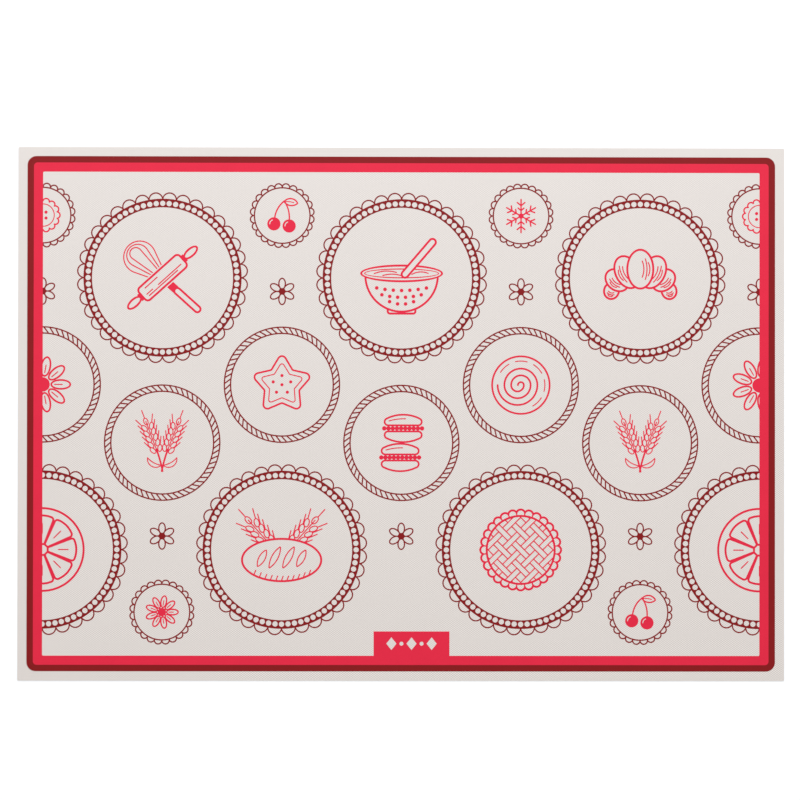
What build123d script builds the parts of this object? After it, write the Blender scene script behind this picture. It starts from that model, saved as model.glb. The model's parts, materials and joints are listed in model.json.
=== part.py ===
from build123d import *
import math
import os

# Silicone baking mat: a woven glass-fibre cloth sealed between two layers of silicone, with a picture
# screen-printed in two inks on the upper face. Millimetres. X runs along the long side, Y towards the
# far long side, Z up. The origin is the middle of the underside, which lies on the tray.

# Sheet
mat_length = 419.0
mat_width = 291.4
mat_corner_radius = 0.5
mat_edge_radius = 0.12
under_skin_thickness = 0.15
cloth_thickness = 0.20
upper_skin_thickness = 0.35
sealed_edge = 1.0

# Printed frame
ink_thickness = 0.05
bare_margin = 5.05
dark_line_width = 3.5
bright_band_width = 5.0
dark_corner_radius = 5.0
bright_corner_radius = 2.0
field_corner_radius = 0.7

# Label tab on the lower band
tab_length = 41.4
tab_height = 13.3
tab_offset = 5.7
lozenge_length = 5.6
lozenge_height = 7.0
lozenge_pitch = 11.0
tab_dot_radius = 1.1

# Roundels: columns across the field, each with a large, a medium and a small one. Every second column
# is turned upside down, and the two outer columns are centred on the band, which cuts them in half.
column_count = 7
large_height_share = 0.281
medium_height_share = 0.060
small_height_share = 0.410
rosette_height_share = 0.253
roundel_gap = 9.0
band_gap = 5.0
rosette_radius = 7.5

# Widths of the printed lines
ring_line = 0.7
large_line = 1.1
large_fine_line = 0.6
medium_line = 0.95
medium_fine_line = 0.55
small_line = 0.75
small_fine_line = 0.5

# Sizes of the drawings, as shares of the radius of the ring round them
large_drawing_share = 1.00
medium_drawing_share = 1.02
small_drawing_share = 1.06

os.makedirs("parts", exist_ok=True)

base_thickness = under_skin_thickness + cloth_thickness
mat_thickness = base_thickness + upper_skin_thickness
cloth_length = mat_length - 2 * sealed_edge
cloth_width = mat_width - 2 * sealed_edge
dark_length = mat_length - 2 * bare_margin
dark_width = mat_width - 2 * bare_margin
bright_length = dark_length - 2 * dark_line_width
bright_width = dark_width - 2 * dark_line_width
field_length = bright_length - 2 * bright_band_width
field_width = bright_width - 2 * bright_band_width


# Strokes of ink. Each helper returns a sketch, and the point lists are shares of the drawing's size.


def scaled(shares, size):
    """Points of an outline in millimetres."""
    return [(across * size, up * size) for across, up in shares]


def polar(radius, angle):
    """Point at an angle in degrees from the X axis."""
    return (radius * math.cos(math.radians(angle)), radius * math.sin(math.radians(angle)))


def placed(sketch, x, y, turn=0):
    """The sketch turned about its origin and moved to a point."""
    return sketch.moved(Location((x, y, 0), turn))


def stroke(path, width):
    """Round-ended line of ink along a path."""
    return SlotArc(path, width, mode=Mode.PRIVATE)


def straight(shares, size, width):
    """Straight stroke between two points."""
    return stroke(Line(*scaled(shares, size), mode=Mode.PRIVATE), width)


def bowed(shares, size, width):
    """Stroke along the arc through three points."""
    return stroke(ThreePointArc(*scaled(shares, size), mode=Mode.PRIVATE), width)


def round_line(radius, width):
    """Line of ink round the outside of a circle."""
    with BuildSketch(mode=Mode.PRIVATE) as line:
        Circle(radius + width)
        Circle(radius, mode=Mode.SUBTRACT)
    return line.sketch


def oval_line(x_radius, y_radius, width):
    """Line of ink round the outside of an ellipse."""
    with BuildSketch(mode=Mode.PRIVATE) as line:
        Ellipse(x_radius + width, y_radius + width)
        Ellipse(x_radius, y_radius, mode=Mode.SUBTRACT)
    return line.sketch


def scalloped_line(disc_radius, lobe_radius, lobe_out, lobe_count, width):
    """Line of ink round the outside of a disc with a row of round lobes on its edge."""
    with BuildSketch(mode=Mode.PRIVATE) as line:
        for grow, mode in ((width, Mode.ADD), (0, Mode.SUBTRACT)):
            Circle(disc_radius + grow, mode=mode)
            with PolarLocations(lobe_out, lobe_count):
                Circle(lobe_radius + grow, mode=mode)
    return line.sketch


def outline(shape, width):
    """Line of ink round the outside of a filled shape."""
    with BuildSketch(mode=Mode.PRIVATE) as line:
        offset(shape, amount=width)
        add(shape, mode=Mode.SUBTRACT)
    return line.sketch


# Large drawings


def rolling_pin(length, line, fine):
    """Rolling pin lying along X, as its filled shape with clear space round it, and its ink."""
    barrel_share, girth_share, corner_share = 0.56, 0.15, 0.03
    collar_share, collar_girth_share = 0.045, 0.085
    grip_share, grip_girth_share = 0.15, 0.055
    grain_shares = (
        ((-0.23, -0.048), (0.17, -0.048)),
        ((-0.08, -0.024), (0.24, -0.024)),
        ((-0.24, -0.020), (-0.16, -0.020)),
        ((-0.21, 0.042), (-0.04, 0.042)),
    )
    barrel, girth, corner = barrel_share * length, girth_share * length, corner_share * length
    collar, collar_girth = collar_share * length, collar_girth_share * length
    grip, grip_girth = grip_share * length, grip_girth_share * length
    grip_line = oval_line(grip / 2, grip_girth / 2, line)
    clear = line + fine
    with BuildSketch(mode=Mode.PRIVATE) as body:
        RectangleRounded(barrel, girth, corner)
    grain = [straight(ends, length, fine) for ends in grain_shares]
    with BuildSketch(mode=Mode.PRIVATE) as shape:
        RectangleRounded(barrel + 2 * clear, girth + 2 * clear, corner + clear)
        with GridLocations(barrel + collar, 0, 2, 1):
            Rectangle(collar + 2 * clear, collar_girth + 2 * fine)
        with GridLocations(barrel + 2 * collar + grip, 0, 2, 1):
            Ellipse(grip / 2 + clear, grip_girth / 2 + clear)
    with BuildSketch(mode=Mode.PRIVATE) as ink:
        with GridLocations(barrel + 2 * collar + grip, 0, 2, 1):
            add(grip_line)
        with GridLocations(barrel + collar, 0, 2, 1):
            Rectangle(collar, collar_girth)
        add(outline(body.sketch, line))
        add(grain)
    return shape.sketch, ink.sketch


def balloon_whisk(length, line, fine):
    """Balloon whisk lying along X: nested wire loops on the right, then a ferrule and a handle."""
    root_share = -0.10
    loop_shares = ((0.165, 0.490), (0.112, 0.465), (0.058, 0.440))
    handle_share, handle_girth_share = 0.33, 0.045
    ferrule_share, ferrule_girth_share = 0.09, 0.085
    root = root_share * length
    loops = []
    for belly_share, tip_share in loop_shares:
        belly, tip = belly_share * length, tip_share * length
        centre = tip - belly
        lean = math.degrees(math.acos(belly / (centre - root)))
        touch_x, touch_y = polar(belly, 180 - lean)
        with BuildSketch(mode=Mode.PRIVATE) as loop:
            with BuildLine():
                Line((root, 0), (centre + touch_x, touch_y))
                ThreePointArc((centre + touch_x, touch_y), (tip, 0), (centre + touch_x, -touch_y))
                Line((centre + touch_x, -touch_y), (root, 0))
            make_face()
        loops.append(outline(loop.sketch, fine))
    with BuildSketch(mode=Mode.PRIVATE) as handle:
        with Locations((root - (ferrule_share + handle_share / 2) * length, 0)):
            SlotOverall(handle_share * length, handle_girth_share * length)
    with BuildSketch(mode=Mode.PRIVATE) as ferrule:
        with Locations((root - ferrule_share / 2 * length, 0)):
            Rectangle(ferrule_share * length, ferrule_girth_share * length)
    with BuildSketch(mode=Mode.PRIVATE) as ink:
        add(loops)
        add([ferrule.sketch, outline(handle.sketch, line)])
    return ink.sketch


def crossed_tools(size, line, fine):
    """Rolling pin laid over a whisk."""
    length_share, lean = 1.10, 42
    pin_shape, pin_ink = rolling_pin(length_share * size, line, fine)
    whisk_ink = balloon_whisk(length_share * size, line, fine)
    with BuildSketch(mode=Mode.PRIVATE) as ink:
        add(placed(whisk_ink, 0, 0, 180 - lean))
        add(placed(pin_shape, 0, 0, lean), mode=Mode.SUBTRACT)
        add(placed(pin_ink, 0, 0, lean))
    return ink.sketch


def mixing_bowl(size, line, fine):
    """Spotted mixing bowl with batter and a wooden spoon."""
    rim_share, rim_rise_share, lip_share, lift_share = 0.46, 0.080, 0.035, 0.055
    bowl_share, depth_share = 0.41, 0.38
    foot_share, foot_rise_share, foot_corner_share = 0.30, 0.045, 0.015
    spot_share = 0.021
    spot_rows_shares = ((0.29, -0.115, 7), (0.23, -0.195, 6), (0.14, -0.275, 4))
    spot_sag_share = 0.03
    spoon_shares = ((0.04, 0.045), (0.36, 0.42))
    spoon_girth_share = 0.055
    swirl_shares = (
        ((-0.32, 0.052), (-0.18, 0.082), (-0.06, 0.066)),
        ((-0.22, 0.030), (-0.10, 0.046), (0.00, 0.028)),
        ((0.12, 0.044), (0.21, 0.072), (0.31, 0.056)),
    )
    depth, lip = depth_share * size, lip_share * size
    rim, rim_rise, lift = rim_share * size, rim_rise_share * size, lift_share * size
    with BuildSketch(mode=Mode.PRIVATE) as bowl:
        with BuildLine():
            Line((-bowl_share * size, 0), (bowl_share * size, 0))
            ThreePointArc((bowl_share * size, 0), (0, -depth), (-bowl_share * size, 0))
        make_face()
    with BuildSketch(mode=Mode.PRIVATE) as foot:
        with Locations((0, -depth)):
            RectangleRounded(foot_share * size, foot_rise_share * size, foot_corner_share * size)
    with BuildSketch(mode=Mode.PRIVATE) as spots:
        for reach, height, count in spot_rows_shares:
            for spot in range(count):
                across = 2 * spot / (count - 1) - 1
                sag = spot_sag_share * (1 - across**2)
                with Locations((across * reach * size, (height - sag) * size)):
                    Circle(spot_share * size)
    with BuildSketch(mode=Mode.PRIVATE) as rim_shape:
        with Locations((0, lift)):
            Ellipse(rim + line, rim_rise + line)
    with BuildSketch(mode=Mode.PRIVATE) as spoon:
        add(straight(spoon_shares, size, spoon_girth_share * size))
    swirls = [bowed(points, size, fine) for points in swirl_shares]
    with BuildSketch(mode=Mode.PRIVATE) as ink:
        add(outline(foot.sketch, line))
        add(bowl.sketch, mode=Mode.SUBTRACT)
        add([outline(bowl.sketch, line), spots.sketch])
        add(rim_shape.sketch, mode=Mode.SUBTRACT)
        add(placed(oval_line(rim, rim_rise, line), 0, lift))
        add(placed(oval_line(rim - lip, rim_rise - lip, fine), 0, lift))
        add(swirls)
        add(spoon.sketch, mode=Mode.SUBTRACT)
        add(outline(spoon.sketch, line))
    return ink.sketch


def croissant(size, line, fine):
    """Crescent roll of overlapping folds, the middle one in front."""
    spine_share, drop_share = 0.35, 0.24
    fold_turns = (0, 26, 51, 74)
    length_shares = (0.215, 0.185, 0.135, 0.075)
    width_shares = (0.140, 0.125, 0.105, 0.085)
    crease_shares = ((0.66, 0.36), (0.42, 0.56), (0.16, 0.44))
    crease_bow_share = 0.14
    front_to_back = [(0, 1)] + [(fold, side) for fold in (1, 2, 3) for side in (-1, 1)]
    with BuildSketch(mode=Mode.PRIVATE) as ink:
        # A dot that the front fold hides, so that there is ink to cut the first fold out of
        Circle(fine)
        for fold, side in reversed(front_to_back):
            turn = side * fold_turns[fold]
            x_radius, y_radius = width_shares[fold] * size, length_shares[fold] * size
            x, y = polar(spine_share * size, 90 - turn)
            here = Location((x, y - drop_share * size, 0), -turn)
            creases = []
            for across, reach in crease_shares:
                low = (side * across * x_radius, -reach * y_radius)
                middle = (side * (across + crease_bow_share) * x_radius, 0)
                high = (side * across * x_radius, reach * y_radius)
                creases.append(stroke(ThreePointArc(low, middle, high, mode=Mode.PRIVATE), fine))
            with Locations(here):
                Ellipse(x_radius + line, y_radius + line, mode=Mode.SUBTRACT)
            add([part.moved(here) for part in [oval_line(x_radius, y_radius, line)] + creases])
    return ink.sketch


def lattice_pie(size, line, fine):
    """Pie seen from above: a crimped rim and a woven lattice lid."""
    lid_share, crimp_share, crimp_offset_share, crimp_count = 0.385, 0.040, 0.035, 28
    strip_share, strip_pitch_share, strip_count = 0.050, 0.150, 5
    lid, girth, pitch = lid_share * size, strip_share * size, strip_pitch_share * size
    middle = (strip_count - 1) / 2
    places = [strip - middle for strip in range(strip_count)]
    crossings = [(x, y) for x in places for y in places]
    crust = scalloped_line(lid + line, crimp_share * size, lid + crimp_offset_share * size, crimp_count, line)
    layers = []
    for turn, over in ((0, 0), (90, 1)):
        with BuildSketch(mode=Mode.PRIVATE) as strips:
            with GridLocations(0, pitch, 1, strip_count):
                Rectangle(2 * lid, girth + 2 * fine)
            with GridLocations(0, pitch, 1, strip_count):
                Rectangle(2 * lid, girth, mode=Mode.SUBTRACT)
            under = [(x * pitch, y * pitch) for x, y in crossings if (x + y) % 2 == over]
            with Locations(*under):
                Rectangle(girth + fine, girth + 2 * fine, mode=Mode.SUBTRACT)
        layers.append(placed(strips.sketch, 0, 0, turn))
    with BuildSketch(mode=Mode.PRIVATE) as lattice:
        add(layers)
        Circle(lid, mode=Mode.INTERSECT)
    with BuildSketch(mode=Mode.PRIVATE) as ink:
        add([placed(lattice.sketch, 0, 0, 45), round_line(lid, line), crust])
    return ink.sketch


def wheat_ear(size, line, fine):
    """Upright ear of wheat with its awns, on a stem with one leaf."""
    kernel_long_share, kernel_wide_share = 0.050, 0.026
    ear_foot_share, row_pitch_share, row_count = -0.12, 0.100, 5
    spread_share, awn_share, lean = 0.062, 0.14, 26
    stem_shares = ((0.035, -0.50), (0.010, -0.32), (0, -0.12))
    leaf_shares = (
        ((0.02, -0.40), (0.11, -0.33), (0.19, -0.20)),
        ((0.02, -0.40), (0.14, -0.39), (0.19, -0.20)),
    )
    kernel = oval_line(kernel_wide_share * size, kernel_long_share * size, fine)
    reach = kernel_long_share * size + fine / 2
    awn = awn_share * size
    top = (ear_foot_share + row_pitch_share * row_count) * size
    kernels = [placed(kernel, 0, top)]
    awns = [stroke(Line((0, top + reach), (0, top + reach + awn), mode=Mode.PRIVATE), fine)]
    for row in range(row_count):
        for side in (-1, 1):
            x, y = side * spread_share * size, (ear_foot_share + row_pitch_share * row) * size
            kernels.append(placed(kernel, x, y, -side * lean))
            start_x, start_y = polar(reach, 90 - side * lean)
            end_x, end_y = polar(reach + awn, 90 - side * lean)
            path = Line((x + start_x, y + start_y), (x + end_x, y + end_y), mode=Mode.PRIVATE)
            awns.append(stroke(path, fine))
    spine = straight(((0, ear_foot_share), (0, ear_foot_share + row_pitch_share * row_count)), size, fine)
    with BuildSketch(mode=Mode.PRIVATE) as ink:
        add([bowed(stem_shares, size, line), spine])
        add([bowed(points, size, fine) for points in leaf_shares])
        add(awns)
        add(kernels)
    return ink.sketch


def loaf_and_wheat(size, line, fine):
    """Oval loaf with slashed crust in front of two ears of wheat."""
    long_share, high_share, drop_share = 0.45, 0.235, 0.12
    slash_shares = ((-0.23, 0.02, 0.10), (-0.08, 0.03, 0.13), (0.08, 0.03, 0.13), (0.23, 0.02, 0.10))
    slash_girth_share, slash_lean = 0.030, -28
    tick_pitch_share, tick_count, tick_run_share, tick_rise_share = 0.064, 11, 0.018, 0.045
    ear_share, ear_lean, ear_across_share, ear_up_share = 0.86, 42, 0.17, 0.10
    slashes, ticks = [], []
    for across, up, reach in slash_shares:
        with BuildSketch(mode=Mode.PRIVATE) as slash:
            with BuildLine():
                ThreePointArc((0, -reach * size), (slash_girth_share * size, 0), (0, reach * size))
                ThreePointArc((0, reach * size), (-slash_girth_share * size, 0), (0, -reach * size))
            make_face()
        slashes.append(placed(outline(slash.sketch, fine), across * size, up * size, slash_lean))
    for tick in range(tick_count):
        across = (tick - (tick_count - 1) / 2) * tick_pitch_share
        foot = -high_share * math.sqrt(1 - (across / long_share) ** 2)
        top = (across + tick_run_share, foot + tick_rise_share)
        ticks.append(straight(((across, foot), top), size, fine))
    right_ear = placed(wheat_ear(ear_share * size, line, fine), 0, 0, -ear_lean)
    right_ear = placed(right_ear, ear_across_share * size, ear_up_share * size)
    with BuildSketch(mode=Mode.PRIVATE) as loaf:
        add(oval_line(long_share * size, high_share * size, line))
        add(slashes)
        add(ticks)
    with BuildSketch(mode=Mode.PRIVATE) as ink:
        add(right_ear)
        mirror(right_ear, about=Plane.YZ)
        with Locations((0, -drop_share * size)):
            Ellipse(long_share * size + line, high_share * size + line, mode=Mode.SUBTRACT)
        add(placed(loaf.sketch, 0, -drop_share * size))
    return ink.sketch


# Medium drawings


def wheat_pair(size, line, fine):
    """Two ears of wheat with their stems crossed."""
    ear_lean, across_share = 21, 0.14
    ear = placed(wheat_ear(size, line, fine), 0, 0, -ear_lean)
    ear = placed(ear, across_share * size, 0)
    with BuildSketch(mode=Mode.PRIVATE) as ink:
        add(ear)
        mirror(ear, about=Plane.YZ)
    return ink.sketch


def star_biscuit(size, line, fine):
    """Five-pointed biscuit with an iced border and dots."""
    tip_count, tip_share, notch_share, corner_share = 5, 0.52, 0.29, 0.055
    icing_share, icing_notch_share, icing_corner_share = 0.37, 0.21, 0.030
    dot_share, dot_ring_share = 0.026, 0.155

    def star(tip, notch, corner):
        tips = [polar(tip, 90 + 360 / tip_count * turn) for turn in range(tip_count)]
        notches = [polar(notch, 90 + 360 / tip_count * (turn + 1 / 2)) for turn in range(tip_count)]
        with BuildSketch(mode=Mode.PRIVATE) as shape:
            Polygon(*[point for pair in zip(tips, notches) for point in pair], align=None)
            fillet(shape.vertices(), corner)
        return shape.sketch

    edge = star(tip_share * size, notch_share * size, corner_share * size)
    icing = star(icing_share * size, icing_notch_share * size, icing_corner_share * size)
    with BuildSketch(mode=Mode.PRIVATE) as ink:
        add([outline(edge, line), outline(icing, fine)])
        Circle(dot_share * size)
        with PolarLocations(dot_ring_share * size, tip_count, 90):
            Circle(dot_share * size)
    return ink.sketch


def citrus_slice(size, line, fine):
    """Round slice of citrus: rind, segments and pips."""
    rind_share, pulp_share, core_share = 0.47, 0.385, 0.075
    segment_count, membrane_share, corner_share = 8, 0.050, 0.022
    pip_shares = ((0.19, 0), (0.30, 0))
    half_turn = 180 / segment_count
    spread = 2 * core_share * size * math.tan(math.radians(half_turn))
    outer_x, outer_y = polar(pulp_share * size, half_turn)
    outer_y = outer_y - membrane_share * size / 2
    with BuildSketch(mode=Mode.PRIVATE) as segment:
        with BuildLine():
            Line((core_share * size, spread / 4), (outer_x, outer_y))
            ThreePointArc((outer_x, outer_y), (pulp_share * size, 0), (outer_x, -outer_y))
            Line((outer_x, -outer_y), (core_share * size, -spread / 4))
            Line((core_share * size, -spread / 4), (core_share * size, spread / 4))
        make_face()
        fillet(segment.vertices().group_by(Axis.X)[-1], corner_share * size)
    segment_ink = [outline(segment.sketch, line), straight(pip_shares, size, fine)]
    with BuildSketch(mode=Mode.PRIVATE) as ink:
        with PolarLocations(0, segment_count):
            add(segment_ink)
        add(round_line(rind_share * size, line))
    return ink.sketch


def macarons(size, line, fine):
    """Two macarons, one on the other, each of two domed shells with a frilled filling."""
    half_share, dome_share, corner_share = 0.40, 0.150, 0.045
    frill_share, frill_count = 0.037, 10
    stack_shares = ((-0.02, -0.245), (0.03, 0.245))
    shine_shares = ((-0.24, 0.125), (-0.10, 0.155), (0.04, 0.162))
    half, frill = half_share * size, frill_share * size
    base = frill + line
    with BuildSketch(mode=Mode.PRIVATE) as shell:
        with BuildLine():
            Line((-half, base), (half, base))
            ThreePointArc((half, base), (0, base + dome_share * size), (-half, base))
        make_face()
        fillet(shell.vertices(), corner_share * size)
    shell_ink = outline(shell.sketch, line)
    frill_pitch = 2 * (half - frill - corner_share * size) / (frill_count - 1)
    with BuildSketch(mode=Mode.PRIVATE) as macaron:
        with GridLocations(frill_pitch, 0, frill_count, 1):
            Circle(frill)
        add([shell_ink, placed(shell_ink, 0, 0, 180)])
        add(bowed(shine_shares, size, fine))
    with BuildSketch(mode=Mode.PRIVATE) as ink:
        add([placed(macaron.sketch, x, y) for x, y in scaled(stack_shares, size)])
    return ink.sketch


def cinnamon_roll(size, line, fine):
    """Rolled bun: a spiral of half circles inside a round crust."""
    heart_share, step_share, half_turns = 0.050, 0.057, 6
    crust_share, glaze_share = 0.47, 0.405
    glaze_turns = (-60, -15, 30, 75, 120)
    glaze_sweep = 28
    centre, radius = 0, heart_share
    coil = []
    for half_turn in range(half_turns):
        side = 1 if half_turn % 2 == 0 else -1
        ends = (centre - side * radius, 0), (centre, side * radius), (centre + side * radius, 0)
        coil.append(bowed(ends, size, line))
        centre = centre - side * step_share
        radius = radius + step_share
    glaze = [
        stroke(CenterArc((0, 0), glaze_share * size, turn, glaze_sweep, mode=Mode.PRIVATE), fine)
        for turn in glaze_turns
    ]
    with BuildSketch(mode=Mode.PRIVATE) as ink:
        add(coil)
        add(round_line(crust_share * size, line))
        add(glaze)
    return ink.sketch


# Small drawings


def daisy(size, line, fine):
    """Flower of oval petals round a filled heart."""
    petal_count, petal_long_share, petal_wide_share, petal_out_share = 9, 0.145, 0.060, 0.305
    heart_share = 0.12
    vein_shares = ((0.20, 0), (0.33, 0))
    petal_out = petal_out_share * size
    petal = placed(oval_line(petal_long_share * size, petal_wide_share * size, line), petal_out, 0)
    vein = straight(vein_shares, size, fine)
    with BuildSketch(mode=Mode.PRIVATE) as ink:
        with PolarLocations(0, petal_count):
            add([petal, vein])
        Circle(heart_share * size)
    return ink.sketch


def cherries(size, line, fine):
    """Two cherries on their stalks, with a leaf."""
    cherry_share = 0.19
    cherry_shares = ((-0.24, -0.24), (0.20, -0.30))
    shine_share, shine_start, shine_sweep = 0.12, 110, 70
    stalk_shares = (
        ((-0.22, -0.10), (-0.13, 0.20), (0.06, 0.42)),
        ((0.20, -0.16), (0.18, 0.15), (0.06, 0.42)),
    )
    leaf_shares = ((0.08, 0.40), (0.26, 0.47), (0.42, 0.36), (0.24, 0.31))
    vein_shares = ((0.08, 0.40), (0.22, 0.40), (0.33, 0.375))
    foot, top, tip, bottom = scaled(leaf_shares, size)
    shine = stroke(CenterArc((0, 0), shine_share * size, shine_start, shine_sweep, mode=Mode.PRIVATE), fine)
    with BuildSketch(mode=Mode.PRIVATE) as leaf:
        with BuildLine():
            ThreePointArc(foot, top, tip)
            ThreePointArc(tip, bottom, foot)
        make_face()
    with BuildSketch(mode=Mode.PRIVATE) as ink:
        add([bowed(points, size, line) for points in stalk_shares])
        with Locations(*scaled(cherry_shares, size)):
            Circle(cherry_share * size)
        add([placed(shine, x, y) for x, y in scaled(cherry_shares, size)], mode=Mode.SUBTRACT)
        add([outline(leaf.sketch, line), bowed(vein_shares, size, fine)])
    return ink.sketch


def snowflake(size, line, fine):
    """Six-armed snow crystal."""
    arm_count, hub_share = 6, 0.075
    arm_shares = ((0, 0), (0.48, 0))
    barb_shares = (
        ((0.30, 0), (0.39, 0.11)),
        ((0.30, 0), (0.39, -0.11)),
        ((0.16, 0), (0.23, 0.085)),
        ((0.16, 0), (0.23, -0.085)),
    )
    with BuildSketch(mode=Mode.PRIVATE) as arm:
        add(straight(arm_shares, size, line))
        add([straight(ends, size, line) for ends in barb_shares])
    with BuildSketch(mode=Mode.PRIVATE) as ink:
        with PolarLocations(0, arm_count, 90):
            add(arm.sketch)
        Circle(hub_share * size)
    return ink.sketch


def button_biscuit(size, line, fine):
    """Round biscuit with a scalloped edge and four holes."""
    biscuit_share, lobe_share, lobe_out_share, lobe_count = 0.40, 0.075, 0.395, 14
    groove_share, hole_share, hole_out_share, hole_count = 0.31, 0.045, 0.12, 4
    edge = scalloped_line(biscuit_share * size, lobe_share * size, lobe_out_share * size, lobe_count, line)
    with BuildSketch(mode=Mode.PRIVATE) as ink:
        add([edge, round_line(groove_share * size, fine)])
        with PolarLocations(hole_out_share * size, hole_count, 45):
            Circle(hole_share * size)
    return ink.sketch


# Rings round the drawings. The radius given is that of the ring's outermost ink.


def scallops(foot_radius, crest_radius, count, width):
    """Row of bows standing on a circle."""
    step = 360 / count
    bows = []
    for turn in range(count):
        start = polar(foot_radius, turn * step)
        crest = polar(crest_radius, (turn + 1 / 2) * step)
        end = polar(foot_radius, (turn + 1) * step)
        bows.append(stroke(ThreePointArc(start, crest, end, mode=Mode.PRIVATE), width))
    return bows


def lace_ring(radius, line):
    """Doily edge: scallops standing on two circles, with a row of eyelets between the circles."""
    scallop_share, scallop_count = 0.078, 36
    eyelet_share, eyelet_count = 0.031, 72
    crest = radius - line / 2
    rim = crest - scallop_share * radius
    eyelet = eyelet_share * radius
    eyelet_out = rim - line / 2 - eyelet - line / 2
    with BuildSketch(mode=Mode.PRIVATE) as band:
        Circle(rim + line / 2)
        Circle(eyelet_out - eyelet - line, mode=Mode.SUBTRACT)
        with PolarLocations(eyelet_out, eyelet_count):
            Circle(eyelet, mode=Mode.SUBTRACT)
    with BuildSketch(mode=Mode.PRIVATE) as ink:
        add(band.sketch)
        add(scallops(rim, crest, scallop_count, line))
    return ink.sketch


def rope_ring(radius, line):
    """Two circles joined by slanting strands, like a laid rope."""
    rope_share, strand_count, strand_slant = 0.085, 60, 5
    outer = radius - line
    inner = outer - rope_share * radius
    strand = stroke(Line(polar(inner, 0), polar(outer + line / 2, strand_slant), mode=Mode.PRIVATE), line)
    with BuildSketch(mode=Mode.PRIVATE) as ink:
        with PolarLocations(0, strand_count):
            add(strand)
        add([round_line(outer, line), round_line(inner - line, line)])
    return ink.sketch


def petal_ring(radius, line):
    """Circle with a row of scallops round it."""
    scallop_share, scallop_count = 0.13, 24
    crest = radius - line / 2
    rim = crest - scallop_share * radius
    with BuildSketch(mode=Mode.PRIVATE) as ink:
        add(round_line(rim - line / 2, line))
        add(scallops(rim, crest, scallop_count, line))
    return ink.sketch


def rosette(radius, line):
    """Small flower of six open petals that fills the space between the rings."""
    petal_count, petal_long_share, petal_wide_share = 6, 0.34, 0.19
    heart_share = 0.15
    petal_long = petal_long_share * radius
    petal = oval_line(petal_long, petal_wide_share * radius, line)
    petal = placed(petal, radius - petal_long - line, 0)
    with BuildSketch(mode=Mode.PRIVATE) as ink:
        with PolarLocations(0, petal_count, 90):
            add(petal)
        Circle(heart_share * radius + line)
    return ink.sketch


# Places and sizes of the roundels
column_pitch = field_length / (column_count - 1)
large_height = large_height_share * field_width
medium_height = medium_height_share * field_width
small_height = small_height_share * field_width
rosette_height = rosette_height_share * field_width

medium_radius = (math.hypot(column_pitch, 2 * medium_height) - roundel_gap) / 2
large_to_medium = min(
    math.hypot(column_pitch, large_height - medium_height),
    large_height + medium_height,
)
large_radius = min(
    large_to_medium - medium_radius - roundel_gap,
    field_width / 2 - large_height - band_gap,
)
small_radius = min(
    math.hypot(column_pitch, small_height - large_height) - large_radius - roundel_gap,
    field_width / 2 - small_height - band_gap,
)

# Sheet: the under layer has a shallow pocket for the cloth, and its rim seals the cloth's edge. The mat's
# cut edge is square below, where it lies on the tray, and rounded above.
with BuildPart() as base_silicone_layer:
    with BuildSketch():
        RectangleRounded(mat_length, mat_width, mat_corner_radius)
    extrude(amount=base_thickness)
    with BuildSketch(Plane.XY.offset(under_skin_thickness)):
        Rectangle(cloth_length, cloth_width)
    extrude(amount=cloth_thickness, mode=Mode.SUBTRACT)
base_silicone_layer.part.label = "base_silicone_layer"
export_step(base_silicone_layer.part, "parts/base_silicone_layer.step")

with BuildPart() as glass_fibre_cloth:
    with BuildSketch(Plane.XY.offset(under_skin_thickness)):
        Rectangle(cloth_length, cloth_width)
    extrude(amount=cloth_thickness)
glass_fibre_cloth.part.label = "glass_fibre_cloth"
export_step(glass_fibre_cloth.part, "parts/glass_fibre_cloth.step")

with BuildPart() as top_silicone_layer:
    with BuildSketch(Plane.XY.offset(base_thickness)):
        RectangleRounded(mat_length, mat_width, mat_corner_radius)
    extrude(amount=upper_skin_thickness)
    fillet(top_silicone_layer.edges().group_by(Axis.Z)[-1], mat_edge_radius)
top_silicone_layer.part.label = "top_silicone_layer"
export_step(top_silicone_layer.part, "parts/top_silicone_layer.step")

# Printed frame: a dark line outside, and a bright band inside it that carries the label tab
printed_face = Plane.XY.offset(mat_thickness)

with BuildPart() as border_print_dark:
    with BuildSketch(printed_face):
        RectangleRounded(dark_length, dark_width, dark_corner_radius)
        RectangleRounded(bright_length, bright_width, bright_corner_radius, mode=Mode.SUBTRACT)
    extrude(amount=ink_thickness)
border_print_dark.part.label = "border_print_dark"
export_step(border_print_dark.part, "parts/border_print_dark.step")

with BuildPart() as border_print_bright:
    with BuildSketch(printed_face):
        RectangleRounded(bright_length, bright_width, bright_corner_radius)
        RectangleRounded(field_length, field_width, field_corner_radius, mode=Mode.SUBTRACT)
        with Locations((tab_offset, -field_width / 2)):
            Rectangle(tab_length, tab_height, align=(Align.CENTER, Align.MIN))
        with Locations((tab_offset, -field_width / 2 + tab_height / 2)):
            with GridLocations(lozenge_pitch, 0, 3, 1):
                Polygon(
                    (lozenge_length / 2, 0),
                    (0, lozenge_height / 2),
                    (-lozenge_length / 2, 0),
                    (0, -lozenge_height / 2),
                    mode=Mode.SUBTRACT,
                )
            with GridLocations(lozenge_pitch, 0, 2, 1):
                Circle(tab_dot_radius, mode=Mode.SUBTRACT)
    extrude(amount=ink_thickness)
border_print_bright.part.label = "border_print_bright"
export_step(border_print_bright.part, "parts/border_print_bright.step")


def print_island(name, sketch, x, y):
    """Film of ink at a point of the upper face. The bright band cuts off what reaches past the field."""
    with BuildPart() as island:
        with BuildSketch(printed_face) as film:
            add(placed(sketch, x, y))
            reach = film.sketch.bounding_box().size.X / 2
            if abs(x) + reach > field_length / 2:
                Rectangle(field_length, field_width, mode=Mode.INTERSECT)
        extrude(amount=ink_thickness, clean=False)
    island.part.label = name
    export_step(island.part, f"parts/{name}.step")


large_size = large_drawing_share * large_radius
medium_size = medium_drawing_share * medium_radius
small_size = small_drawing_share * small_radius

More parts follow.
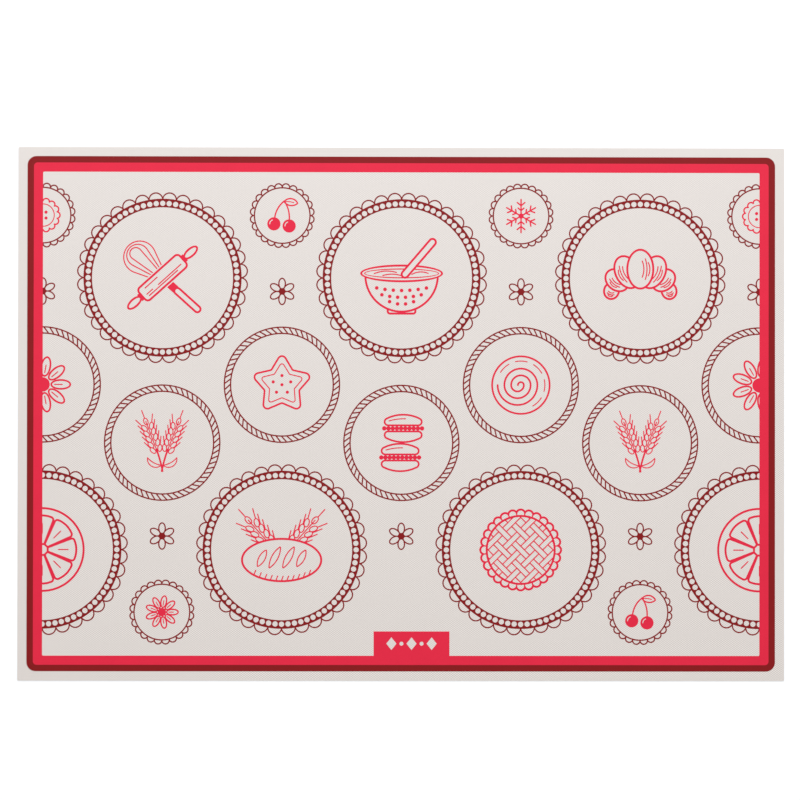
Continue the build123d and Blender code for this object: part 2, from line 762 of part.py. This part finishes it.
# One drawing for each column, from the left
large_drawings = (
    citrus_slice,
    crossed_tools,
    loaf_and_wheat,
    mixing_bowl,
    lattice_pie,
    croissant,
    citrus_slice,
)
medium_drawings = (daisy, wheat_pair, star_biscuit, macarons, cinnamon_roll, wheat_pair, daisy)
small_drawings = (button_biscuit, daisy, cherries, None, snowflake, cherries, button_biscuit)

large_ring = lace_ring(large_radius, ring_line)
medium_ring = rope_ring(medium_radius, ring_line)
small_ring = petal_ring(small_radius, ring_line)
small_flower = rosette(rosette_radius, ring_line)

for column in range(column_count):
    number = column + 1
    x = (column - (column_count - 1) / 2) * column_pitch
    side = 1 if column % 2 == 1 else -1

    print_island(f"large_ring_print_{number}", large_ring, x, side * large_height)
    drawing = large_drawings[column]
    ink = drawing(large_size, large_line, large_fine_line)
    print_island(f"{drawing.__name__}_large_print_{number}", ink, x, side * large_height)

    print_island(f"medium_ring_print_{number}", medium_ring, x, -side * medium_height)
    drawing = medium_drawings[column]
    ink = drawing(medium_size, medium_line, medium_fine_line)
    print_island(f"{drawing.__name__}_medium_print_{number}", ink, x, -side * medium_height)

    print_island(f"rosette_print_{number}", small_flower, x, -side * rosette_height)

    # The label tab takes the place of the middle column's small roundel
    drawing = small_drawings[column]
    if drawing:
        print_island(f"small_ring_print_{number}", small_ring, x, -side * small_height)
        ink = drawing(small_size, small_line, small_fine_line)
        print_island(f"{drawing.__name__}_small_print_{number}", ink, x, -side * small_height)
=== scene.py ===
import json
import math

import bmesh
import bpy
from mathutils import Euler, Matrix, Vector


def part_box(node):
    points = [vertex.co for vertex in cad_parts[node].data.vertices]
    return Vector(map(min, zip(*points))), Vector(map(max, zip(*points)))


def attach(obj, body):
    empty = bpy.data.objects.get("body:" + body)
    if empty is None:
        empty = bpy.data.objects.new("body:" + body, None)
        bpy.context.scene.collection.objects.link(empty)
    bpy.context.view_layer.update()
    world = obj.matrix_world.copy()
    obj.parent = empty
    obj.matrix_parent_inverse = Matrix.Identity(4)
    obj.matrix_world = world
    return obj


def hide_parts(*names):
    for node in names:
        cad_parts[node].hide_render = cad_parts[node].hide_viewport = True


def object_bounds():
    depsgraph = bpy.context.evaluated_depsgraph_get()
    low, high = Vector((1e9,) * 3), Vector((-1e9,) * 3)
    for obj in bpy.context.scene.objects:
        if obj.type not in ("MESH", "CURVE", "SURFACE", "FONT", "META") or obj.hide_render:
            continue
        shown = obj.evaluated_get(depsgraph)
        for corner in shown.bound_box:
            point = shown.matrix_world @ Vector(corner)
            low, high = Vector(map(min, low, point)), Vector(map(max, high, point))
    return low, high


# A silicone baking mat seen from straight above on a white table. Metres, and degrees for the camera.
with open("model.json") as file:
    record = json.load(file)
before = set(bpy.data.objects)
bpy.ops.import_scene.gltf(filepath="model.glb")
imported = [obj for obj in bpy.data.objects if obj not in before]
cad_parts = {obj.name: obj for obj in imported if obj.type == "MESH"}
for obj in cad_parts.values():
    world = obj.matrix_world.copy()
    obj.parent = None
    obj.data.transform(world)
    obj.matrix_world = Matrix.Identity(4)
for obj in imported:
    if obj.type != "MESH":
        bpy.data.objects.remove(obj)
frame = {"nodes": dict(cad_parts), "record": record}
cad_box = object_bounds()

MM = 0.001
white = (1.0, 1.0, 1.0, 1.0)

# Noise detail: how many finer layers are added to the first one
low_detail, middle_detail, high_detail = 1.0, 2.0, 3.0

# Camera, at the photograph's angle
camera_place = (-0.0069, 0.0019, 1.0333)
camera_turns = (0.316, -0.340, 0.081)
camera_lens = 85
camera_sensor = 36

# Light: an even white surround, and a soft box beyond the far long side with slightly cool light
surround_strength = 0.56
soft_box_place = (0.0, 0.85, 1.05)
soft_box_size = (1.5, 0.9)
soft_box_power = 13.0
soft_box_colour = (0.93, 1.0, 1.10)

# Table. The lift whitens it to the camera: more of it further out, where less light falls.
table_radius = 3.0
table_sides = 128
table_gap = 0.05 * MM
table_colour = (0.80, 0.80, 0.80)
table_rough = 0.9
table_grain_size, table_grain_contrast = 4 * MM, 0.005
near_lift, far_lift = 0.34, 0.62
lift_start, lift_end = 0.35, 1.10

# Weave of the cloth under the silicone. Warp yarns run along Y and weft yarns along X.
warp_pitch, weft_pitch = 0.781 * MM, 0.573 * MM
weave_shift = (0.0, 0.31 * MM, 0.0)
wander_size, wander_reach = 30 * MM, 0.5 * MM
pinhole_height, gap_height = 0.35, 0.05
yarn_border = 0.1
fibre_width, fibre_length = 0.05 * MM, 2.0 * MM
fibre_low, fibre_high = 0.3, 0.7

# Silicone: how strongly the weave shows in its colour and stands in its face, with fibres, pinholes and
# the bare sealed edge, then the silicone's own cloud, grain, gloss and ripple
silicone_colour = (0.787, 0.713, 0.652)
underside_colour = (0.745, 0.705, 0.655)
face_contrast, face_relief, face_margin_clearness = 0.15, 0.020 * MM, 1.35
back_contrast, back_relief, back_margin_clearness = 0.17, 0.035 * MM, 1.0
# Painted light: the weave shows clearest at the near side and fades toward the far side, where the soft
# box's light washes it out
painted_light_near_clearness, painted_light_far_clearness = 1.45, 0.75
margin_fade = 3 * MM
fibre_contrast, pinhole_contrast = 0.035, 0.10
weave_start, weave_full = 0.6 * MM, 1.2 * MM
cloud_size, cloud_contrast = 45 * MM, 0.012
grain_size, grain_contrast = 0.35 * MM, 0.02
silicone_gloss_size = 8 * MM
silicone_smooth, silicone_rough = 0.46, 0.56
yarn_gloss = 0.6
ripple_size, ripple_height = 12 * MM, 0.05 * MM
silicone_ior, silicone_specular = 1.41, 0.30

# Inks: the weave under them, the mottle of the film and the grain of the printing screen
dark_ink_colour = (0.242, 0.006, 0.007)
bright_ink_colour = (0.810, 0.021, 0.057)
dark_ink_contrast, bright_ink_contrast = 0.04, 0.02
mottle_size, mottle_contrast = 14 * MM, 0.05
screen_size, screen_contrast = 0.5 * MM, 0.06
ink_gloss_size = 6 * MM
ink_smooth, ink_rough = 0.40, 0.50
ink_relief = 0.015 * MM
ink_ior, ink_specular = 1.43, 0.20

# Cloth
cloth_colour = (0.80, 0.77, 0.71)
cloth_cell = 4 * MM
gap_shade, yarn_shade = 0.70, 1.05
cloth_fibre_contrast = 0.08
cloth_smooth, cloth_rough = 0.42, 0.55
cloth_relief = 0.08 * MM


class Graph:
    """The nodes of a material or of the surround, with a short call for each kind that is used."""

    def __init__(self, owner, shader):
        owner.use_nodes = True
        self.owner = owner
        self.tree = owner.node_tree
        self.shader = self.tree.nodes[shader]

    def feed(self, socket, value):
        """Links another node's output to the socket, or sets a value on it."""
        if isinstance(value, bpy.types.NodeSocket):
            self.tree.links.new(value, socket)
        else:
            socket.default_value = value

    def shade(self, **inputs):
        """Feeds the shader's own sockets."""
        for name, value in inputs.items():
            self.feed(self.shader.inputs[name.replace("_", " ")], value)

    def add(self, kind, settings=None, **inputs):
        """Adds a node, with its own settings and what its sockets get."""
        node = self.tree.nodes.new(kind)
        for name, value in (settings or {}).items():
            setattr(node, name, value)
        for name, value in inputs.items():
            self.feed(node.inputs[name.replace("_", " ")], value)
        return node

    def math(self, operation, *values):
        node = self.add("ShaderNodeMath", {"operation": operation})
        for socket, value in zip(node.inputs, values):
            self.feed(socket, value)
        return node.outputs[0]

    def total(self, first, *others):
        for other in others:
            first = self.math("ADD", first, other)
        return first

    def product(self, first, *others):
        for other in others:
            first = self.math("MULTIPLY", first, other)
        return first

    def remap(self, value, low, high, to_low, to_high, smooth=False):
        kind = "SMOOTHSTEP" if smooth else "LINEAR"
        node = self.add("ShaderNodeMapRange", {"interpolation_type": kind}, Value=value)
        ends = {"From Min": low, "From Max": high, "To Min": to_low, "To Max": to_high}
        for name, number in ends.items():
            self.feed(node.inputs[name], number)
        return node.outputs["Result"]

    def seen(self):
        """1 for rays from the camera, a reflection or clear material, and 0 for scattered light."""
        rays = self.add("ShaderNodeLightPath").outputs
        mirrored = self.math("MAXIMUM", rays["Is Glossy Ray"], rays["Is Transmission Ray"])
        return self.math("MAXIMUM", rays["Is Camera Ray"], mirrored)


class Surface(Graph):
    """The nodes of a piece's material, with the place on the piece and its coordinates."""

    def __init__(self, name):
        super().__init__(bpy.data.materials.new(name), "Principled BSDF")
        self.place = self.add("ShaderNodeTexCoord").outputs["Object"]
        self.x, self.y, _ = self.add("ShaderNodeSeparateXYZ", Vector=self.place).outputs

    def vector(self, operation, first, second):
        node = self.add("ShaderNodeVectorMath", {"operation": operation})
        self.feed(node.inputs[0], first)
        self.feed(node.inputs["Scale" if operation == "SCALE" else 1], second)
        return node.outputs[0]

    def tinted(self, colour, factor):
        """A colour made lighter or darker by a factor about 1."""
        return self.vector("SCALE", colour, factor)

    def noise(self, size, low, high, detail=high_detail):
        """Noise whose features are about one size across, from a low to a high value."""
        node = self.add("ShaderNodeTexNoise", Vector=self.place, Scale=1 / size, Detail=detail)
        return self.remap(node.outputs["Fac"], 0.0, 1.0, low, high)

    def fibres(self, place, along_x, along_y, along_z):
        """Noise drawn out into fibres with a size of their own along each axis, from -1 to 1."""
        drawn_out = self.vector("MULTIPLY", place, (1 / along_x, 1 / along_y, 1 / along_z))
        node = self.add("ShaderNodeTexNoise", Vector=drawn_out, Scale=1.0, Detail=low_detail)
        return self.remap(node.outputs["Fac"], fibre_low, fibre_high, -1.0, 1.0)

    def bump(self, height, distance, **base):
        return self.add("ShaderNodeBump", Height=height, Distance=distance, **base).outputs["Normal"]


def weave(surface):
    """Plain weave of yarns that wander a little from their straight lines.

    Returns the upper yarn's height from 0 to 1, which way it runs from -1 to 1, the pinholes at the
    corners of each crossing and the yarn's fibres.
    """
    wander = surface.add(
        "ShaderNodeTexNoise", Vector=surface.place, Scale=1 / wander_size, Detail=low_detail
    )
    wandering = surface.vector("SCALE", wander.outputs["Color"], wander_reach)
    place = surface.vector("ADD", surface.vector("ADD", surface.place, weave_shift), wandering)
    x, y, _ = surface.add("ShaderNodeSeparateXYZ", Vector=place).outputs
    across = surface.math("SINE", surface.product(x, math.pi / warp_pitch))
    along = surface.math("SINE", surface.product(y, math.pi / weft_pitch))
    crossing = surface.product(across, along)
    warp = surface.total(surface.math("ABSOLUTE", across), crossing)
    weft = surface.math("SUBTRACT", surface.math("ABSOLUTE", along), crossing)
    # A yarn rises to 2 where it passes over the other one
    height = surface.product(surface.math("MAXIMUM", warp, weft), 1 / 2)
    pinholes = surface.remap(height, gap_height, pinhole_height, 1.0, 0.0, smooth=True)
    warp_over_weft = surface.math("SUBTRACT", warp, weft)
    fibres = surface.add(
        "ShaderNodeMix",
        {"data_type": "FLOAT"},
        Factor=surface.remap(warp_over_weft, -yarn_border, yarn_border, 0.0, 1.0),
        A=surface.fibres(place, fibre_length, fibre_width, fibre_length),
        B=surface.fibres(place, fibre_width, fibre_length, fibre_length),
    )
    return height, crossing, pinholes, fibres.outputs["Result"]


def from_edge(surface, high):
    """How far a place lies inside the nearest edge of the layer."""
    from_end = surface.math("SUBTRACT", high.x, surface.math("ABSOLUTE", surface.x))
    from_side = surface.math("SUBTRACT", high.y, surface.math("ABSOLUTE", surface.y))
    return surface.math("MINIMUM", from_end, from_side)


def silicone(name, colour, node, contrast, relief, margin_clearness):
    """Translucent white silicone, with the cloth showing through it and faintly standing in its face."""
    surface = Surface(name)
    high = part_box(node)[1]
    height, crossing, pinholes, fibres = weave(surface)
    inside = from_edge(surface, high)
    # No cloth lies in the sealed edge, and the weave is clearest in the margin outside the frame line
    cloth = surface.remap(inside, weave_start, weave_full, 0.0, 1.0, smooth=True)
    margin = high.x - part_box("border_print_dark")[1].x
    bare = surface.remap(inside, margin, margin + margin_fade, margin_clearness, 1.0)
    # Painted light: the weave's strength ramps down from the near side to the far side, lit by the soft
    # box
    painted_light_ramp = surface.remap(surface.y, -high.y, high.y, painted_light_near_clearness, painted_light_far_clearness)
    yarns = surface.total(
        surface.product(crossing, contrast, painted_light_ramp, bare),
        surface.product(fibres, fibre_contrast),
        surface.product(pinholes, -pinhole_contrast),
    )
    yarns = surface.product(yarns, cloth)
    cloud = surface.noise(cloud_size, -cloud_contrast, cloud_contrast)
    grain = surface.noise(grain_size, -grain_contrast, grain_contrast, detail=middle_detail)
    rough = surface.noise(silicone_gloss_size, silicone_smooth, silicone_rough)
    ripple = surface.bump(surface.noise(ripple_size, 0.0, 1.0, detail=middle_detail), ripple_height)
    surface.shade(
        Base_Color=surface.tinted(colour, surface.total(1.0, yarns, cloud, grain)),
        Roughness=surface.total(rough, surface.product(yarns, -yarn_gloss)),
        Normal=surface.bump(surface.product(height, cloth), relief, Normal=ripple),
        IOR=silicone_ior,
        Specular_IOR_Level=silicone_specular,
    )
    return surface.owner


def ink(name, colour, contrast):
    """Silicone ink: smooth and a little glossy, with the weave faint in it."""
    surface = Surface(name)
    height, crossing, pinholes, _ = weave(surface)
    yarns = surface.product(surface.math("SUBTRACT", crossing, pinholes), contrast)
    mottle = surface.noise(mottle_size, -mottle_contrast, mottle_contrast)
    screen = surface.noise(screen_size, -screen_contrast, screen_contrast)
    surface.shade(
        Base_Color=surface.tinted(colour, surface.total(1.0, yarns, mottle, screen)),
        Roughness=surface.noise(ink_gloss_size, ink_smooth, ink_rough),
        Normal=surface.bump(height, ink_relief),
        IOR=ink_ior,
        Specular_IOR_Level=ink_specular,
    )
    return surface.owner


def woven_glass():
    """Plain-woven glass fibre: pale yarns with dark gaps at the corners of each crossing."""
    surface = Surface("woven_glass")
    height, crossing, _, fibres = weave(surface)
    shade = surface.remap(height, 0.0, 1.0, gap_shade, yarn_shade)
    streaks = surface.product(fibres, cloth_fibre_contrast)
    surface.shade(
        Base_Color=surface.tinted(cloth_colour, surface.total(shade, streaks)),
        Roughness=surface.remap(crossing, -1.0, 1.0, cloth_smooth, cloth_rough),
        Normal=surface.bump(height, cloth_relief),
    )
    return surface.owner


def white_table():
    """Table that is white to the camera and in reflections, and keeps the mat's shadow."""
    surface = Surface("white_table")
    darkest, lightest = 1 - table_grain_contrast, 1 + table_grain_contrast
    grain = surface.noise(table_grain_size, darkest, lightest, detail=middle_detail)
    x_squared = surface.product(surface.x, surface.x)
    y_squared = surface.product(surface.y, surface.y)
    from_middle = surface.math("SQRT", surface.total(x_squared, y_squared))
    lift = surface.remap(from_middle, lift_start, lift_end, near_lift, far_lift, smooth=True)
    surface.shade(
        Base_Color=surface.tinted(table_colour, grain),
        Roughness=table_rough,
        Specular_IOR_Level=0.0,
        Emission_Color=white,
        Emission_Strength=surface.product(surface.seen(), lift),
    )
    return surface.owner


def new_piece(name, mesh, material):
    """An object made from a bmesh, with its place in its mesh."""
    data = bpy.data.meshes.new(name)
    mesh.to_mesh(data)
    mesh.free()
    data.materials.append(material)
    piece = bpy.data.objects.new(name, data)
    bpy.context.scene.collection.objects.link(piece)
    return piece


def dress(name, material):
    """Gives a CAD node a material in place of the plain one that it came with."""
    mesh = frame["nodes"][name].data
    mesh.materials.clear()
    mesh.materials.append(material)


def woven_cloth():
    """The glass cloth: a fine grid of the cloth's own size and thickness, closed round its cut edge."""
    low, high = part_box("glass_fibre_cloth")
    size = high - low
    columns, rows = round(size.x / cloth_cell), round(size.y / cloth_cell)
    mesh = bmesh.new()
    bmesh.ops.create_grid(mesh, x_segments=columns, y_segments=rows, size=1)
    for vertex in mesh.verts:
        vertex.co = (vertex.co.x * size.x / 2, vertex.co.y * size.y / 2, low.z)
    raised = bmesh.ops.extrude_face_region(mesh, geom=mesh.faces[:])["geom"]
    for vertex in (item for item in raised if isinstance(item, bmesh.types.BMVert)):
        vertex.co.z = high.z
    bmesh.ops.recalc_face_normals(mesh, faces=mesh.faces[:])
    piece = new_piece("woven_glass_cloth", mesh, woven_glass())
    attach(piece, "root")
    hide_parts("glass_fibre_cloth")


def table():
    """Round white table top under the mat."""
    mesh = bmesh.new()
    bmesh.ops.create_circle(mesh, cap_ends=True, segments=table_sides, radius=table_radius)
    for vertex in mesh.verts:
        vertex.co.z = cad_box[0].z - table_gap
    new_piece("table", mesh, white_table())


def surround():
    """Even white surround, which is white to the camera and in reflections."""
    world = bpy.data.worlds.new("surround")
    bpy.context.scene.world = world
    graph = Graph(world, "Background")
    strength = graph.remap(graph.seen(), 0.0, 1.0, surround_strength, 1.0)
    graph.shade(Color=white, Strength=strength)


def soft_box():
    """Large soft lamp beyond the far side, aimed at the middle of the mat."""
    lamp = bpy.data.lights.new("soft_box", "AREA")
    lamp.shape = "RECTANGLE"
    lamp.size, lamp.size_y = soft_box_size
    lamp.energy = soft_box_power
    lamp.color = soft_box_colour
    piece = bpy.data.objects.new("soft_box", lamp)
    piece.location = soft_box_place
    lean = math.atan2(soft_box_place[1], soft_box_place[2])
    piece.rotation_euler = Euler((-lean, 0, 0))
    bpy.context.scene.collection.objects.link(piece)


def camera():
    """Camera above the mat, looking down at a hair off square, as in the photograph."""
    data = bpy.data.cameras.new("camera")
    data.lens = camera_lens
    data.sensor_width = camera_sensor
    piece = bpy.data.objects.new("camera", data)
    piece.location = camera_place
    piece.rotation_euler = Euler([math.radians(turn) for turn in camera_turns])
    bpy.context.scene.collection.objects.link(piece)
    bpy.context.scene.camera = piece


camera()
surround()
soft_box()
table()
woven_cloth()

face = silicone(
    "silicone_face",
    silicone_colour,
    "top_silicone_layer",
    face_contrast,
    face_relief,
    face_margin_clearness,
)
back = silicone(
    "silicone_back",
    underside_colour,
    "base_silicone_layer",
    back_contrast,
    back_relief,
    back_margin_clearness,
)
dress("top_silicone_layer", face)
dress("base_silicone_layer", back)

inks = {
    "ink_dark": ink("dark_red_ink", dark_ink_colour, dark_ink_contrast),
    "ink_bright": ink("bright_red_ink", bright_ink_colour, bright_ink_contrast),
}
for part in frame["record"]["subparts"]:
    if part["material_slot"] in inks:
        dress(part["node"], inks[part["material_slot"]])

bpy.context.scene.view_settings.view_transform = "Standard"
